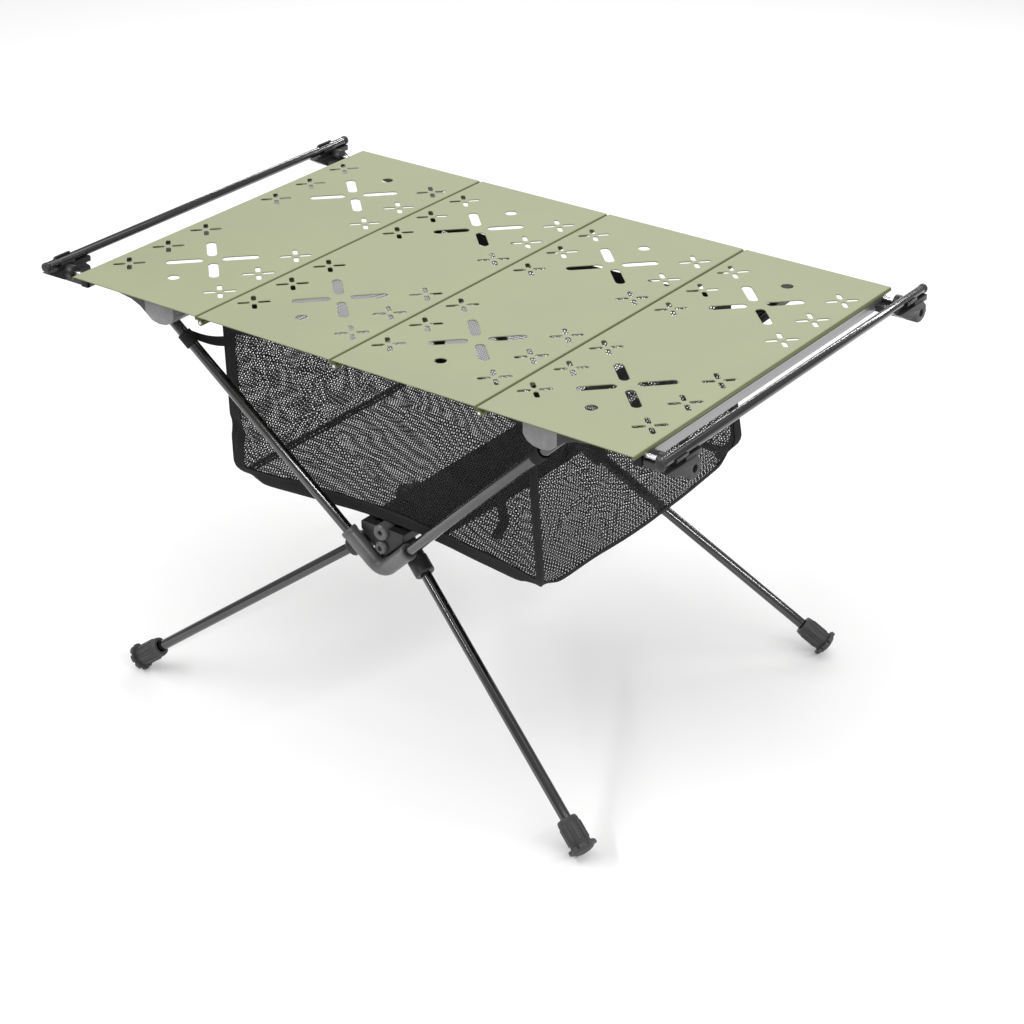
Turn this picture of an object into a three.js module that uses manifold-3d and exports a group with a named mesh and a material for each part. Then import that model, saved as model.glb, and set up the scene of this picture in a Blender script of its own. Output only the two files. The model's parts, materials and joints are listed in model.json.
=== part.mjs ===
// Camp kitchen table: a four-panel folding top that sits on two crossed pole frames,
// joined by a crossbar, with a mesh storage bag hung between them.
// Millimetres, +Z up. Origin on the floor under the middle of the top.
// X runs along the length of the top, Y across it.

import * as THREE from 'three';
import { mergeVertices } from 'three/addons/utils/BufferGeometryUtils.js';
import Module from 'manifold-3d';

const wasm = await Module();
wasm.setup();

// ---------- driving dimensions ----------

const GAP = 0.3;

const TOP_LENGTH = 600;
const TOP_DEPTH = 400;
const TOP_HEIGHT = 391;
const SHEET = 1.2;
const PANEL_COUNT = 4;
const PANEL_WIDTH = TOP_LENGTH / PANEL_COUNT;
const SHEET_BOTTOM = TOP_HEIGHT - SHEET;

const HINGE_DROP = 8;
const HINGE_Z = TOP_HEIGHT - HINGE_DROP;
const KNUCKLE_R = 3;
const KNUCKLE_BORE_R = 1.8;
const SEAM_PIN_R = 1.5;
const KNUCKLES_PER_SEAM = 5;
const SEAM_LENGTH = 392;
const FLANGE = 1.2;
const FLANGE_DROP = 2.5;
const KNUCKLE_WEB_Z = HINGE_Z + 1.9;

const CLUSTER_Y = 98.6;
const BIG_SLOT = { offset: 25.2, length: 33.5, width: 8.8, endSides: 4 };
const CROSS_COLUMN_X = 55;
const CROSS_ROW_Y = 50;
const PETAL = { offset: 8.9, length: 11.4, width: 4.4, endSides: 2 };
const ROUND_HOLE = { y: 149, r: 5.5 };

const END_BAR = { width: 8, z0: 378, z1: 387, length: 380 };
const END_FLANGE_Z = END_BAR.z1 + GAP;
const LINK_PIN = { y: 184.5, z: 386.2, r: 2.25, inner: 293.5, outer: 318 };
const ROD = { x: 327, z: 394.5, r: 4, halfLength: 202 };
const ROD_CAP = { r: 4.3, length: 5 };
const CONNECTOR = {
  y: 180,
  inner: 300.6,
  plateInner: 321,
  plateOuter: 333,
  fan: [
    [-25, 388], [-10, 379], [4, 377], [8, 370], [14, 369], [20, 371],
    [23, 376], [22, 382], [16, 387.5],
  ],
  clip: { from: -11, to: 5, r: 6 },
  saddle: { from: 2, to: 24, z0: 386, z1: 391, inset: 0.6 },
  web: { from: -9, to: 12, z0: 378.5, z1: 384 },
  ear: { inner: 312.5, r: 6.2 },
  ring: { y: 14, z: 377, r: 3.5, bottom: 326 },
};

const POLE_R = 5;
const SOCKET_R = 5.3;
const SOCKET_DEPTH = 28;

const ARM_VERTEX = new THREE.Vector3(0, -143.5, 165);
const ARM_DIRECTION = new THREE.Vector3(0.717, -0.101, 0.69).normalize();
const ARM_SLEEVE = { r: 7.5, length: 48, fillet: 14 };
const ARM_TIP_Z = 382;

const LEG_VERTEX = new THREE.Vector3(0, -123, 204);
const LEG_DIRECTION = new THREE.Vector3(0.777, -0.237, -0.583).normalize();
const LEG_SLEEVE = { r: 8.5, length: 54, fillet: 14, collarR: 9.2, collarLength: 16 };
const FOOT = { bodyR: 9.5, flangeR: 13, bodyLength: 26, flange: 3.2, socket: 23 };

const CROSSBAR = { r: 7.5, z: 204, end: 115.7 };
const HUB = {
  face: 143,
  back: 116,
  blockFront: 135.6,
  blockHalf: 16,
  blockZ0: 176,
  blockZ1: 208,
  bossEnd: 146.5,
  bossHoleR: 2.25,
  pad: [[-3, 180.3], [3, 180.3], [24, 200.3], [24, 208], [-24, 208], [-24, 200.3]],
  tail: { half: 9, front: 140, back: 122, z0: 164.5 },
};
const SCREW = { z: 189, headR: 6.25, head: 4, shankR: 2.5, shank: 12 };

const BRACKET = {
  y0: 163.5,
  y1: 190,
  underside: [
    [188, 374], [192, 369], [198, 366], [206, 365], [214, 366.5], [220, 371],
    [228, 377], [238, 381], [252, 383],
  ],
  screw: { x0: 239, x1: 249, y0: 173, y1: 183, roof: 2.5 },
};

const BAG = { z0: 213, z1: 366, wall: 3, halfX: 170, middleY: 137, cornerY: 150 };
const LOOP = { along: 266, length: 13, r: 8, boreR: 5.6, tabX0: 128, tabX1: 196, tabDrop: 8 };

// ---------- materials ----------

const finish = (color, roughness, metalness) =>
  new THREE.MeshStandardMaterial({ color, roughness, metalness });

const FINISHES = {
  sage: () => finish(0xb2b896, 0.5, 0.2),
  black: () => finish(0x1c1c1d, 0.35, 0.8),
  dark: () => finish(0x2c2c2e, 0.6, 0),
  grey: () => finish(0x8a8a8e, 0.55, 0),
  rail: () => finish(0x8f8f92, 0.45, 0.6),
  steel: () => finish(0xc9c9cc, 0.25, 1),
  mesh: () => finish(0x232325, 0.9, 0),
};

// ---------- solids ----------

const table = new THREE.Group();
table.name = 'camp_kitchen_table';

function solid(geometry) {
  const bare = geometry.clone();
  bare.deleteAttribute('normal');
  bare.deleteAttribute('uv');
  const merged = mergeVertices(bare, 1e-4);
  const vertProperties = new Float32Array(merged.attributes.position.array);
  const triVerts = new Uint32Array(merged.index.array);
  return new wasm.Manifold(new wasm.Mesh({ numProp: 3, vertProperties, triVerts }));
}

function join(first, ...rest) {
  return rest.reduce((sum, next) => sum.add(next), first);
}

function cut(first, ...rest) {
  return rest.reduce((sum, next) => sum.subtract(next), first);
}

function addPiece(name, body, finishName) {
  const { vertProperties, triVerts } = body.getMesh();
  const geometry = new THREE.BufferGeometry();
  geometry.setAttribute('position', new THREE.BufferAttribute(vertProperties, 3));
  geometry.setIndex(new THREE.BufferAttribute(triVerts, 1));
  const mesh = new THREE.Mesh(geometry, FINISHES[finishName]());
  mesh.name = name;
  table.add(mesh);
}

function box(x0, x1, y0, y1, z0, z1) {
  const geometry = new THREE.BoxGeometry(x1 - x0, y1 - y0, z1 - z0);
  geometry.translate((x0 + x1) / 2, (y0 + y1) / 2, (z0 + z1) / 2);
  return solid(geometry);
}

function rod(from, to, radius, sides = 12) {
  const along = new THREE.Vector3().subVectors(to, from);
  const geometry = new THREE.CylinderGeometry(radius, radius, along.length(), sides);
  const turn = new THREE.Quaternion().setFromUnitVectors(
    new THREE.Vector3(0, 1, 0),
    along.clone().normalize(),
  );
  geometry.applyQuaternion(turn);
  const middle = new THREE.Vector3().addVectors(from, to).multiplyScalar(0.5);
  geometry.translate(middle.x, middle.y, middle.z);
  return solid(geometry);
}

function rodX(x0, x1, y, z, radius, sides = 12) {
  return rod(new THREE.Vector3(x0, y, z), new THREE.Vector3(x1, y, z), radius, sides);
}

function rodY(y0, y1, x, z, radius, sides = 12) {
  return rod(new THREE.Vector3(x, y0, z), new THREE.Vector3(x, y1, z), radius, sides);
}

function outline(points) {
  return new THREE.Shape(points.map(([x, y]) => new THREE.Vector2(x, y)));
}

// A profile drawn in (y, z) and given its thickness along x.
function plateX(points, x0, x1) {
  const geometry = new THREE.ExtrudeGeometry(outline(points), {
    depth: x1 - x0,
    bevelEnabled: false,
  });
  const toYz = new THREE.Matrix4().makeBasis(
    new THREE.Vector3(0, 1, 0),
    new THREE.Vector3(0, 0, 1),
    new THREE.Vector3(1, 0, 0),
  );
  geometry.applyMatrix4(toYz);
  geometry.translate(x0, 0, 0);
  return solid(geometry);
}

// A profile drawn in (x, z) and given its thickness along y.
function plateY(points, y0, y1) {
  const geometry = new THREE.ExtrudeGeometry(outline(points), {
    depth: y1 - y0,
    bevelEnabled: false,
  });
  geometry.rotateX(Math.PI / 2);
  geometry.translate(0, y1, 0);
  return solid(geometry);
}

function mirrorY(body) {
  return body.mirror([0, 1, 0]);
}

function mirrorX(body) {
  return body.mirror([1, 0, 0]);
}

// ---------- folding top ----------

// A slot with rounded or pointed ends, centred at (x, y), long side turned by angle.
function slotShape(x, y, angle, { length, width, endSides }) {
  const half = length / 2 - width / 2;
  const points = [];
  for (const side of [0, 1]) {
    for (let i = 0; i <= endSides; i++) {
      const turn = side * Math.PI - Math.PI / 2 + (Math.PI * i) / endSides;
      const px = (side === 0 ? half : -half) + (width / 2) * Math.cos(turn);
      const py = (width / 2) * Math.sin(turn);
      const wx = x + px * Math.cos(angle) - py * Math.sin(angle);
      const wy = y + px * Math.sin(angle) + py * Math.cos(angle);
      points.push(new THREE.Vector2(wx, wy));
    }
  }
  return new THREE.Shape(points);
}

function crossOfSlots(x, y, slot) {
  return [45, 135, 225, 315].map((degrees) => {
    const angle = THREE.MathUtils.degToRad(degrees);
    const slotX = x + slot.offset * Math.cos(angle);
    const slotY = y + slot.offset * Math.sin(angle);
    return slotShape(slotX, slotY, angle, slot);
  });
}

function roundShape(x, y, r, sides) {
  const points = Array.from({ length: sides }, (_, i) => {
    const turn = (2 * Math.PI * i) / sides;
    return new THREE.Vector2(x + r * Math.cos(turn), y + r * Math.sin(turn));
  });
  return new THREE.Shape(points);
}

function panelHoles(centreX) {
  const holes = [];
  for (const side of [-1, 1]) {
    holes.push(roundShape(centreX, side * ROUND_HOLE.y, ROUND_HOLE.r, 10));
    holes.push(...crossOfSlots(centreX, side * CLUSTER_Y, BIG_SLOT));
    for (const column of [-CROSS_COLUMN_X, CROSS_COLUMN_X]) {
      for (const row of [-CROSS_ROW_Y, 0, CROSS_ROW_Y]) {
        holes.push(...crossOfSlots(centreX + column, side * CLUSTER_Y + row, PETAL));
      }
    }
  }
  return holes;
}

function holePunch(shape) {
  const geometry = new THREE.ExtrudeGeometry(shape, { depth: SHEET + 2, bevelEnabled: false });
  geometry.translate(0, 0, SHEET_BOTTOM - 1);
  return solid(geometry);
}

function panelSheet(x0, x1, centreX) {
  const half = TOP_DEPTH / 2;
  const sheet = box(x0, x1, -half, half, SHEET_BOTTOM, TOP_HEIGHT);
  return cut(sheet, ...panelHoles(centreX).map(holePunch));
}

// The knuckles of one panel along one seam. side is +1 when the panel lies towards +X.
function seamHinge(seamX, side) {
  const pitch = SEAM_LENGTH / KNUCKLES_PER_SEAM;
  const pieces = [];
  const near = seamX + side * GAP;
  const far = seamX + side * (GAP + FLANGE);
  const flangeX = [Math.min(near, far), Math.max(near, far)];
  const flangeBottom = SHEET_BOTTOM - FLANGE_DROP;
  pieces.push(box(...flangeX, -SEAM_LENGTH / 2, SEAM_LENGTH / 2, flangeBottom, SHEET_BOTTOM + 1));
  for (let i = 0; i < KNUCKLES_PER_SEAM; i++) {
    if ((i % 2 === 0) !== (side > 0)) continue;
    const y0 = -SEAM_LENGTH / 2 + i * pitch + GAP;
    const y1 = y0 + pitch - 2 * GAP;
    const barrel = rodY(y0, y1, seamX, HINGE_Z, KNUCKLE_R, 10);
    const web = box(...flangeX, y0, y1, KNUCKLE_WEB_Z, flangeBottom + 0.5);
    const bore = rodY(y0 - 1, y1 + 1, seamX, HINGE_Z, KNUCKLE_BORE_R, 8);
    pieces.push(cut(join(barrel, web), bore));
  }
  return pieces;
}

function endFlange(side) {
  const outer = side * TOP_LENGTH / 2;
  const inner = outer - side * FLANGE;
  const x = [Math.min(outer, inner), Math.max(outer, inner)];
  const lip = box(...x, -TOP_DEPTH / 2, TOP_DEPTH / 2, END_FLANGE_Z, SHEET_BOTTOM + 1);
  const notches = [-1, 1].map((end) => {
    const y = end * LINK_PIN.y;
    return box(x[0] - 1, x[1] + 1, y - 4, y + 4, END_FLANGE_Z - 1, SHEET_BOTTOM);
  });
  return cut(lip, ...notches);
}

for (let i = 0; i < PANEL_COUNT; i++) {
  const left = -TOP_LENGTH / 2 + i * PANEL_WIDTH;
  const right = left + PANEL_WIDTH;
  const first = i === 0;
  const last = i === PANEL_COUNT - 1;
  const sheetLeft = first ? left : left + GAP;
  const sheetRight = last ? right : right - GAP;
  const pieces = [panelSheet(sheetLeft, sheetRight, (left + right) / 2)];
  pieces.push(...(first ? [endFlange(-1)] : seamHinge(left, 1)));
  pieces.push(...(last ? [endFlange(1)] : seamHinge(right, -1)));
  addPiece(`panel_${i + 1}`, join(...pieces), 'sage');
}

for (let i = 1; i < PANEL_COUNT; i++) {
  const x = -TOP_LENGTH / 2 + i * PANEL_WIDTH;
  const half = SEAM_LENGTH / 2;
  addPiece(`seam_pin_${i}`, rodY(-half, half, x, HINGE_Z, SEAM_PIN_R, 8), 'steel');
}

// ---------- ends of the top: bar, pins, corner connectors and rod ----------

const SIDES = { left: -1, right: 1 };
const ROWS = { front: -1, back: 1 };

function span(side, a, b) {
  return side > 0 ? [a, b] : [-b, -a];
}

function endBar(side) {
  const outer = TOP_LENGTH / 2;
  const half = END_BAR.length / 2;
  const bar = box(...span(side, outer - END_BAR.width, outer), -half, half, END_BAR.z0, END_BAR.z1);
  const grooves = [-1, 1].map((end) => {
    const y = end * LINK_PIN.y;
    const [x0, x1] = span(side, LINK_PIN.inner - GAP, outer + 1);
    return rodX(x0, x1, y, LINK_PIN.z, LINK_PIN.r + GAP, 10);
  });
  return cut(bar, ...grooves);
}

// A C-shaped clip under the rod. It reaches over the rod only on the left, outboard.
function rodClip(side, y) {
  const { from, to, r } = CONNECTOR.clip;
  const clip = rodY(y + from, y + to, side * ROD.x, ROD.z, r, 14);
  const openFrom = side > 0 ? -r - 1 : 0;
  const mouth = box(
    side * ROD.x + openFrom,
    side * ROD.x + r + 1,
    y + from - 1,
    y + to + 1,
    ROD.z,
    ROD.z + r + 1,
  );
  return cut(clip, mouth);
}

// Both connectors of one side face the same way; row and side only set where they sit.
function cornerConnector(side, row) {
  const { fan, saddle, web, ear, ring, inner, plateInner, plateOuter } = CONNECTOR;
  const y = row * CONNECTOR.y;
  const pinY = row * LINK_PIN.y;
  const plate = plateX(fan.map(([dy, z]) => [y + dy, z]), ...span(side, plateInner, plateOuter));
  const saddleX = span(side, plateInner + saddle.inset, plateOuter - saddle.inset);
  const seat = box(...saddleX, y + saddle.from, y + saddle.to, saddle.z0, saddle.z1);
  const bridge = box(...span(side, inner, plateInner + 1), y + web.from, y + web.to, web.z0, web.z1);
  const eye = rodX(...span(side, ear.inner, plateInner + 1), pinY, LINK_PIN.z, ear.r, 14);
  const rodSpace = rodY(y - 40, y + 40, side * ROD.x, ROD.z, ROD.r + GAP, 12);
  const pinX = span(side, inner - 1, LINK_PIN.outer + GAP);
  const pinSpace = rodX(...pinX, pinY, LINK_PIN.z, LINK_PIN.r + GAP, 10);
  const ringX = span(side, ring.bottom, plateOuter + 1);
  const ringHole = rodX(...ringX, y + ring.y, ring.z, ring.r, 10);
  const body = join(plate, rodClip(side, y), seat, bridge, eye);
  return cut(body, rodSpace, pinSpace, ringHole);
}

for (const [sideName, side] of Object.entries(SIDES)) {
  addPiece(`end_bar_${sideName}`, endBar(side), 'rail');
  const rodBody = rodY(-ROD.halfLength, ROD.halfLength, side * ROD.x, ROD.z, ROD.r, 12);
  addPiece(`end_rod_${sideName}`, rodBody, 'black');
  for (const [rowName, row] of Object.entries(ROWS)) {
    const label = `${rowName}_${sideName}`;
    addPiece(`connector_${label}`, cornerConnector(side, row), 'dark');
    const [x0, x1] = span(side, LINK_PIN.inner, LINK_PIN.outer);
    const pin = rodX(x0, x1, row * LINK_PIN.y, LINK_PIN.z, LINK_PIN.r, 10);
    addPiece(`link_pin_${label}`, pin, 'steel');
    const end = ROD.halfLength + GAP;
    const [c0, c1] = span(row, end, end + ROD_CAP.length);
    addPiece(`rod_cap_${label}`, rodY(c0, c1, side * ROD.x, ROD.z, ROD_CAP.r, 12), 'dark');
  }
}

// ---------- pole frames ----------

function along(vertex, direction, distance, side, row) {
  const point = vertex.clone().addScaledVector(direction, distance);
  return new THREE.Vector3(side * point.x, -row * point.y, point.z);
}

function armPoint(distance, side = 1, row = -1) {
  return along(ARM_VERTEX, ARM_DIRECTION, distance, side, row);
}

function legPoint(distance, side = 1, row = -1) {
  return along(LEG_VERTEX, LEG_DIRECTION, distance, side, row);
}

const ARM_START = ARM_SLEEVE.length - SOCKET_DEPTH + GAP;
const ARM_END = (ARM_TIP_Z - ARM_VERTEX.z) / ARM_DIRECTION.z;
const LEG_START = LEG_SLEEVE.length - SOCKET_DEPTH + GAP;

// The sole edge touches the floor at its lowest point.
const LEG_RISE = -LEG_DIRECTION.z;
const FOOT_END = (LEG_VERTEX.z - FOOT.flangeR * Math.sqrt(1 - LEG_RISE ** 2)) / LEG_RISE;
const FOOT_START = FOOT_END - FOOT.flange - FOOT.bodyLength;
const LEG_END = FOOT_START + FOOT.socket;

// A round sleeve that follows both poles of a V, with a rounded vertex.
function sleeve(point, { r, length, fillet }, cornerAngle) {
  const tangent = fillet * Math.tan(cornerAngle / 2);
  const path = new THREE.CurvePath();
  const left = point(tangent, -1);
  const right = point(tangent, 1);
  path.add(new THREE.LineCurve3(point(length, -1), left));
  path.add(new THREE.QuadraticBezierCurve3(left, point(0), right));
  path.add(new THREE.LineCurve3(right, point(length, 1)));
  const section = new THREE.Shape().absarc(0, 0, r, 0, 2 * Math.PI);
  const geometry = new THREE.ExtrudeGeometry(section, {
    steps: 20,
    curveSegments: 6,
    extrudePath: path,
    bevelEnabled: false,
  });
  return solid(geometry);
}

// How far a yoke turns from one pole to the other.
function bendAngle({ x, y, z }) {
  return 2 * Math.atan2(Math.hypot(y, z), x);
}

function yokeSockets(point, length) {
  return [-1, 1].map((side) =>
    rod(point(length - SOCKET_DEPTH, side), point(length + 5, side), SOCKET_R, 10));
}

function armYoke() {
  const body = sleeve(armPoint, ARM_SLEEVE, bendAngle(ARM_DIRECTION));
  const { half, front, back, z0 } = HUB.tail;
  const tail = box(-half, half, -front, -back, z0, HUB.blockZ0 - GAP);
  return cut(join(body, tail), ...yokeSockets(armPoint, ARM_SLEEVE.length));
}

function legYoke() {
  const body = sleeve(legPoint, LEG_SLEEVE, bendAngle(LEG_DIRECTION));
  const collars = [-1, 1].map((side) =>
    rod(
      legPoint(LEG_SLEEVE.length - LEG_SLEEVE.collarLength, side),
      legPoint(LEG_SLEEVE.length + 0.2, side),
      LEG_SLEEVE.collarR,
      12,
    ));
  const half = HUB.blockHalf;
  const block = box(-half, half, -HUB.blockFront, -HUB.back, HUB.blockZ0, HUB.blockZ1);
  const pad = plateY(HUB.pad, -HUB.face, -HUB.back);
  const boss = rodY(-HUB.bossEnd, -HUB.back, 0, CROSSBAR.z, CROSSBAR.r, 14);
  const bossHole = rodY(-HUB.bossEnd - 1, -HUB.bossEnd + 8, 0, CROSSBAR.z, HUB.bossHoleR, 10);
  const screwHole = rodY(
    -HUB.face - 5,
    -HUB.face + SCREW.shank + GAP,
    0,
    SCREW.z,
    SCREW.shankR + GAP,
    10,
  );
  const sockets = yokeSockets(legPoint, LEG_SLEEVE.length);
  const bossTrim = rodY(-HUB.bossEnd - 1, -HUB.face - GAP / 2, 0, SCREW.z, SCREW.headR + GAP, 14);
  return cut(join(body, ...collars, block, pad, boss), bossHole, screwHole, bossTrim, ...sockets);
}

function hubScrew() {
  const head = rodY(
    -HUB.face - GAP - SCREW.head,
    -HUB.face - GAP,
    0,
    SCREW.z,
    SCREW.headR,
    14,
  );
  const shank = rodY(-HUB.face - 1, -HUB.face + SCREW.shank, 0, SCREW.z, SCREW.shankR, 10);
  return join(head, shank);
}

// Turned about the leg, with one corner of the sole edge straight down.
function foot(side, row) {
  const axis = new THREE.Vector3(side * LEG_DIRECTION.x, -row * LEG_DIRECTION.y, LEG_DIRECTION.z);
  const down = new THREE.Vector3(0, 0, -1).addScaledVector(axis, axis.z).normalize();
  const across = new THREE.Vector3().crossVectors(axis, down);
  const start = FOOT_START;
  const end = FOOT_END;
  const profile = [
    [0, end + 3.6], [7, end + 2.8], [10.5, end], [FOOT.flangeR, end],
    [FOOT.flangeR, end - FOOT.flange], [FOOT.bodyR, end - FOOT.flange],
    [FOOT.bodyR, start + 2], [FOOT.bodyR - 1.2, start], [SOCKET_R, start],
    [SOCKET_R, start + FOOT.socket + GAP], [0, start + FOOT.socket + GAP],
  ].map(([r, s]) => new THREE.Vector2(r, s));
  const geometry = new THREE.LatheGeometry(profile.reverse(), 16);
  const basis = new THREE.Matrix4().makeBasis(across, axis, down);
  basis.setPosition(side * LEG_VERTEX.x, -row * LEG_VERTEX.y, LEG_VERTEX.z);
  geometry.applyMatrix4(basis);
  return solid(geometry);
}

// A saddle under the outer panel. The pole tip stands in a pocket that is open below.
function armBracket() {
  const z = SHEET_BOTTOM - GAP;
  const { underside, screw } = BRACKET;
  const profile = [[underside[0][0], z], ...underside, [underside.at(-1)[0], z]];
  const body = plateY(profile, -BRACKET.y1, -BRACKET.y0);
  const slope = ARM_DIRECTION.x / ARM_DIRECTION.z;
  const clear = POLE_R / ARM_DIRECTION.z + 1;
  const roof = ARM_TIP_Z + POLE_R * ARM_DIRECTION.x + 0.7;
  const floor = 350;
  const inside = (level) => slope * (level - ARM_VERTEX.z) - clear;
  const tip = armPoint(ARM_END);
  const outside = tip.x + POLE_R * ARM_DIRECTION.z + 3;
  const pocket = plateY(
    [[inside(floor), floor], [inside(roof), roof], [outside, roof], [outside, floor]],
    tip.y - POLE_R - 1,
    tip.y + POLE_R + 4,
  );
  const screwRecess = box(screw.x0, screw.x1, -screw.y1, -screw.y0, floor, z - screw.roof);
  return cut(body, pocket, screwRecess);
}

const bracketBody = armBracket();

addPiece('crossbar', rodY(-CROSSBAR.end, CROSSBAR.end, 0, CROSSBAR.z, CROSSBAR.r, 14), 'black');

for (const [rowName, row] of Object.entries(ROWS)) {
  const place = row < 0 ? (body) => body : mirrorY;
  addPiece(`hub_arm_yoke_${rowName}`, place(armYoke()), 'grey');
  addPiece(`hub_leg_yoke_${rowName}`, place(legYoke()), 'dark');
  addPiece(`hub_screw_${rowName}`, place(hubScrew()), 'steel');
  for (const [sideName, side] of Object.entries(SIDES)) {
    const label = `${rowName}_${sideName}`;
    const arm = rod(armPoint(ARM_START, side, row), armPoint(ARM_END, side, row), POLE_R, 12);
    addPiece(`arm_${label}`, arm, 'black');
    const leg = rod(legPoint(LEG_START, side, row), legPoint(LEG_END, side, row), POLE_R, 12);
    addPiece(`leg_${label}`, leg, 'black');
    addPiece(`foot_${label}`, foot(side, row), 'dark');
    const turned = side > 0 ? bracketBody : mirrorX(bracketBody);
    addPiece(`arm_bracket_${label}`, place(turned), 'grey');
  }
}

// ---------- storage bag ----------

function bagOutline(inset) {
  const x = BAG.halfX - inset;
  const corner = BAG.cornerY - inset;
  const middle = BAG.middleY - inset;
  const quarter = [[x, 0], [x, corner - 34], [x - 9, corner - 9], [x - 34, corner], [70, middle]];
  const half = [...quarter, [0, middle], ...quarter.slice(1).reverse().map(([a, b]) => [-a, b])];
  return [...half, [-x, 0], ...half.slice(1, -1).map(([a, b]) => [a, -b]).reverse()];
}

function bagLayer(inset, z0, z1) {
  const geometry = new THREE.ExtrudeGeometry(outline(bagOutline(inset)), {
    depth: z1 - z0,
    bevelEnabled: false,
  });
  geometry.translate(0, 0, z0);
  return solid(geometry);
}

const bagOuter = bagLayer(0, BAG.z0, BAG.z1);
const bagInner = bagLayer(BAG.wall, BAG.z0 + BAG.wall, BAG.z1 + 5);
addPiece('storage_bag', cut(bagOuter, bagInner), 'mesh');

// A strap round the arm, sewn to a tab that hangs down to the bag's corner.
function bagLoop(side, row) {
  const from = armPoint(LOOP.along - LOOP.length / 2, side, row);
  const to = armPoint(LOOP.along + LOOP.length / 2, side, row);
  const middle = armPoint(LOOP.along, side, row);
  const ring = rod(from, to, LOOP.r, 10);
  const inner = row * (BAG.cornerY + GAP);
  const outer = middle.y - row * (LOOP.r - 0.6);
  const tab = box(
    ...span(side, LOOP.tabX0, LOOP.tabX1),
    Math.min(inner, outer),
    Math.max(inner, outer),
    middle.z - LOOP.tabDrop,
    middle.z + 2,
  );
  const hole = rod(
    armPoint(LOOP.along - 60, side, row),
    armPoint(LOOP.along + 60, side, row),
    LOOP.boreR,
    10,
  );
  return cut(join(ring, tab), hole);
}

for (const [rowName, row] of Object.entries(ROWS)) {
  for (const [sideName, side] of Object.entries(SIDES)) {
    addPiece(`bag_loop_${rowName}_${sideName}`, bagLoop(side, row), 'mesh');
  }
}

export default table;
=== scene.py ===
"""Camp kitchen table: a folding sheet-metal top on two crossed pole frames, with a mesh bag."""

import json
import math

import bmesh
import bpy
from bpy.props import FloatProperty, FloatVectorProperty, IntProperty, PointerProperty
from bpy.types import Operator, Panel, PropertyGroup
from mathutils import Matrix, Vector, geometry, noise


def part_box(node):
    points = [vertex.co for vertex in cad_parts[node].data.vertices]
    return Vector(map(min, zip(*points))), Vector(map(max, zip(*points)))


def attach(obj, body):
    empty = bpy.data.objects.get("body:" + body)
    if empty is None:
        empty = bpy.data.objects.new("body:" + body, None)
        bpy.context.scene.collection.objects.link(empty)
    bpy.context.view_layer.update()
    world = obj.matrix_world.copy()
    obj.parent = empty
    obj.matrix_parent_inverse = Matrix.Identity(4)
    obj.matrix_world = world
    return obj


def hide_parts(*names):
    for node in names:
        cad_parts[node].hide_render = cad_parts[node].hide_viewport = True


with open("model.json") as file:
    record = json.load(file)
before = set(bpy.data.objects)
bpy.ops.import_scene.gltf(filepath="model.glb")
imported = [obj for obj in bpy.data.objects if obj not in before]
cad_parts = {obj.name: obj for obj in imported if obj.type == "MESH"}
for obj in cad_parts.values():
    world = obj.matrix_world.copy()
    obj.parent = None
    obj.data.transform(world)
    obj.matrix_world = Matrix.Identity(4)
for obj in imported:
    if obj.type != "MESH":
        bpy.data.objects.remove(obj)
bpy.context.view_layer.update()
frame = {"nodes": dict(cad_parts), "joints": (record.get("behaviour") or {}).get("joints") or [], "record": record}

bl_info = {
    "name": "Camp Kitchen Table",
    "version": (1, 0, 0),
    "blender": (4, 5, 0),
    "location": "3D View > Sidebar > Camp Table",
    "description": "Builds the visible pieces of a folding camp kitchen table around its frame",
    "category": "Object",
}

RECORD = frame["record"]
SLOT_OF = {part["node"]: part["material_slot"] for part in RECORD["subparts"]}
BODY_OF = {
    node: body for body, nodes in RECORD["behaviour"]["bodies"].items() for node in nodes
}
JOINT_AXIS = {joint["name"]: Vector(joint["axis"]).normalized() for joint in frame["joints"]}
ROW_SIGN = {"front": -1, "back": 1}
SIDE_SIGN = {"left": -1, "right": 1}
CORNERS = [(row, side) for row in ROW_SIGN for side in SIDE_SIGN]
MM = 0.001


# ---------------------------------------------------------------- settings


class TopSettings(PropertyGroup):
    sheet: FloatProperty(
        name="Sheet thickness",
        description="Thickness of the folding top's metal sheet",
        default=1.1 * MM,
        unit="LENGTH",
    )
    bend: FloatProperty(
        name="Bend radius",
        description="Radius of the rolled edge along each seam",
        default=2.2 * MM,
        unit="LENGTH",
    )
    flange: FloatProperty(
        name="Flange depth",
        description="How far the rolled edge reaches down",
        default=1.6 * MM,
        unit="LENGTH",
    )
    colour: FloatVectorProperty(
        name="Sheet colour",
        description="Colour of the powder coat",
        default=(0.325, 0.349, 0.217),
        subtype="COLOR",
    )


class PoleSettings(PropertyGroup):
    radius: FloatProperty(
        name="Pole radius",
        description="Outer radius of the arms and legs",
        default=5 * MM,
        unit="LENGTH",
    )
    sides: IntProperty(
        name="Pole sides",
        description="Number of faces round a pole",
        default=40,
        min=12,
    )
    colour: FloatVectorProperty(
        name="Pole colour",
        description="Colour of the anodised tube",
        default=(0.075, 0.075, 0.077),
        subtype="COLOR",
    )


class FootSettings(PropertyGroup):
    body_radius: FloatProperty(
        name="Foot radius",
        description="Radius of the foot's sleeve",
        default=9.5 * MM,
        unit="LENGTH",
    )
    flange_radius: FloatProperty(
        name="Sole radius",
        description="Radius of the sole's scalloped rim",
        default=13 * MM,
        unit="LENGTH",
    )
    length: FloatProperty(
        name="Sleeve length",
        description="Length of the foot above its rim",
        default=26 * MM,
        unit="LENGTH",
    )
    rim: FloatProperty(
        name="Rim thickness",
        description="Thickness of the scalloped rim",
        default=3.2 * MM,
        unit="LENGTH",
    )


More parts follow.
